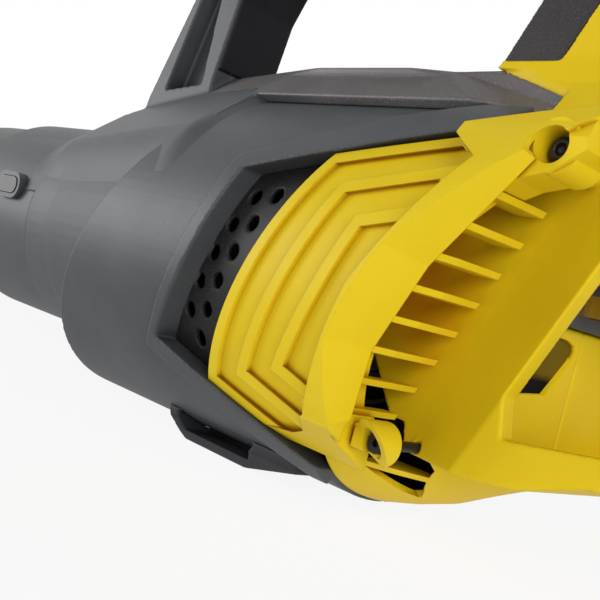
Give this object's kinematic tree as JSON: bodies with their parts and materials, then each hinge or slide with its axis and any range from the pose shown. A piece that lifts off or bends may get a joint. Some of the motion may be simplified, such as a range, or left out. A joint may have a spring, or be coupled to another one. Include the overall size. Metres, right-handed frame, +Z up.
{
  "type": "hand-held cordless leaf blower",
  "caption": "Hand-held cordless axial leaf blower with stepped side intake covers, loop handle, round blower tube and an open battery bay.",
  "frame": {"origin": "on the ground, in the middle of the sole of the foot", "axes": "+Z up, the nozzle points to -X, the battery bay opens to +X, left is -Y; the fan turns about a line along X at y = 0, z = 0.09 m"},
  "size_m": [0.89, 0.194, 0.299],
  "materials": {
    "charcoal_plastic": "spark-eroded grain, matt",
    "band_plastic": "coarse grain, matt",
    "panel_plastic": "fine grain, satin",
    "yellow_plastic": "smooth, satin",
    "black_rubber": "matt, soft grip",
    "pad_rubber": "fine grain, matt",
    "black_plastic": "fine grain, matt",
    "tube_plastic": "fine grain, matt",
    "fan_plastic": "glass-filled, smooth",
    "steel": "bright",
    "black_steel": "black oxide",
    "core_steel": "stacked sheet",
    "motor_aluminium": "turned, satin",
    "copper": "enamelled copper wire",
    "contact_metal": "plated contacts",
    "wire_cover": "insulated stranded wire"
  },
  "bodies": {
    "blower": {"housing_left": "charcoal_plastic", "housing_right": "charcoal_plastic", "foot": "charcoal_plastic", "spine": "band_plastic", "vent_panel_left": "panel_plastic", "vent_panel_right": "panel_plastic", "cover_left": "yellow_plastic", "cover_right": "yellow_plastic", "rear_shell_left": "yellow_plastic", "rear_shell_right": "yellow_plastic", "rear_post_pad": "pad_rubber", "front_post_left": "charcoal_plastic", "front_post_right": "charcoal_plastic", "post_rubber": "black_rubber", "grip_rubber": "black_rubber", "trigger_pin": "steel", "trigger_spring": "steel", "switch_unit": "black_plastic", "fan_duct": "black_plastic", "tail_cone": "black_plastic", "inlet_guard": "black_plastic", "motor_can": "motor_aluminium", "stator_core": "core_steel", "windings": "copper", "front_bearing": "steel", "rear_bearing": "steel", "front_motor_plate": "motor_aluminium", "rear_motor_plate": "motor_aluminium", "blower_tube": "tube_plastic", "lock_collar": "charcoal_plastic", "lock_spring": "steel", "end_nozzle": "tube_plastic", "control_module": "black_plastic", "terminal_block": "black_plastic", "terminal_blades": "contact_metal", "bay_rails": "black_plastic", "motor_leads": "wire_cover", "battery_leads": "wire_cover", "switch_leads": "wire_cover", "cover_screws": "black_steel", "housing_screws": "black_steel", "shell_screws": "black_steel"},
    "fan_rotor": {"fan": "fan_plastic", "fan_nut": "steel", "rotor": "steel"},
    "trigger_body": {"trigger": "black_plastic"},
    "speed_lever_body": {"speed_lever": "black_plastic"},
    "lock_button_body": {"lock_button": "black_plastic"}
  },
  "joints": [
    {"name": "fan_spin", "type": "hinge", "parent": "blower", "child": "fan_rotor", "pos_m": [0.015, 0, 0.09], "axis": [1, 0, 0], "continuous": true},
    {"name": "trigger_pull", "type": "hinge", "parent": "blower", "child": "trigger_body", "pos_m": [-0.058, 0, 0.2635], "axis": [0, -1, 0], "range_deg": [0, 12], "stiffness_Nm_per_rad": 0.3, "springref_deg": -20.05, "deforming": ["trigger_spring"]},
    {"name": "speed_lock", "type": "hinge", "parent": "blower", "child": "speed_lever_body", "pos_m": [-0.04, 0, 0.2805], "axis": [0, 1, 0], "range_deg": [0, 60]},
    {"name": "lock_press", "type": "slide", "parent": "blower", "child": "lock_button_body", "axis": [0, 1, 0], "range_m": [0, 0.002], "stiffness_N_per_m": 800, "springref_m": -0.003, "deforming": ["lock_spring"]}
  ]
}
